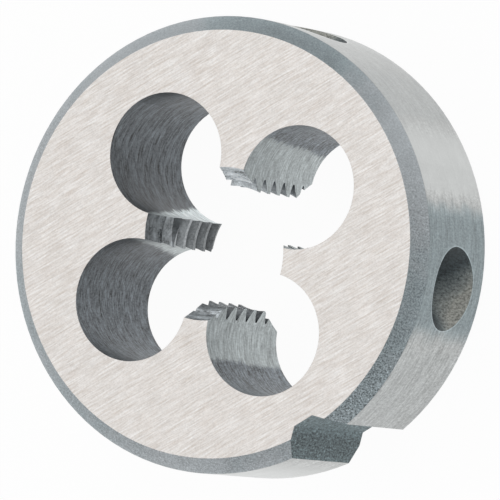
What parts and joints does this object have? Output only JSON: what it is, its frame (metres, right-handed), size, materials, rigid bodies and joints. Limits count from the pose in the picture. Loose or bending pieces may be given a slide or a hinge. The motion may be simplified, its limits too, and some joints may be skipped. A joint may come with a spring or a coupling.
{
  "type": "threading die",
  "caption": "Round threading die: a steel disc whose threaded bore opens into round chip holes, with a notch and cone-shaped dimples in its rim to hold it in a die stock.",
  "frame": {"origin": "centre of the back face, on the axis of the bore", "axes": "+Z along the bore, from the back face to the front face; the notch lies between +X and -Y; the lands lie on the X and Y axes"},
  "size_m": [0.025, 0.025, 0.009],
  "materials": {
    "tool_steel": "ground faces, blasted edges and drilled holes on bare hardened steel"
  },
  "bodies": {
    "root": {"die_body": "tool_steel"}
  },
  "joints": []
}
